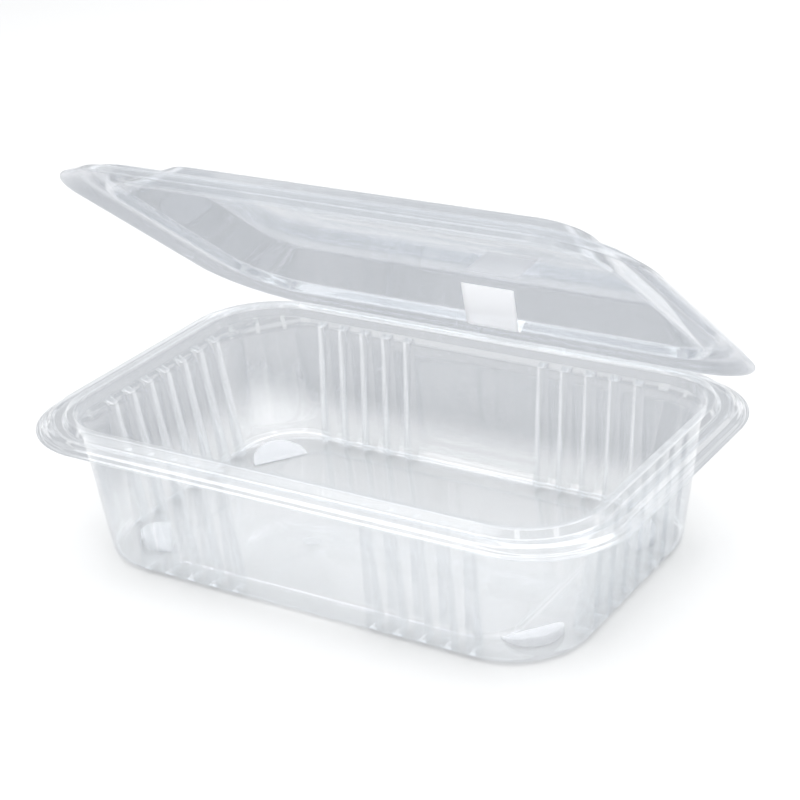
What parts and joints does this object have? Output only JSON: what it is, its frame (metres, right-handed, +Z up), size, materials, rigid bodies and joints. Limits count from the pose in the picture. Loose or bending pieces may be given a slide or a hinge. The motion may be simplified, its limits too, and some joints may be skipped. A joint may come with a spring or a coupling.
{
  "type": "hinged takeaway container",
  "caption": "Clear thermoformed rectangular takeaway container with fluted walls, stepped rim and shallow domed lid hinged along one long side, shown standing open.",
  "frame": {"origin": "middle of the tray's footprint, on the surface that it stands on", "axes": "+X along the long side, +Y from the front edge to the hinge, +Z up"},
  "size_m": [0.19, 0.1224, 0.1169],
  "materials": {
    "clear_tray": "clear gloss sheet, thermoformed",
    "clear_lid": "clear gloss sheet, thermoformed"
  },
  "bodies": {
    "tray": {"tray": "clear_tray"},
    "lid": {"lid": "clear_lid"}
  },
  "joints": [
    {"name": "lid_hinge", "type": "hinge", "parent": "tray", "child": "lid", "pos_m": [0, 0.0612, 0.04075], "axis": [-1, 0, 0], "range_deg": [-38, 142]}
  ]
}
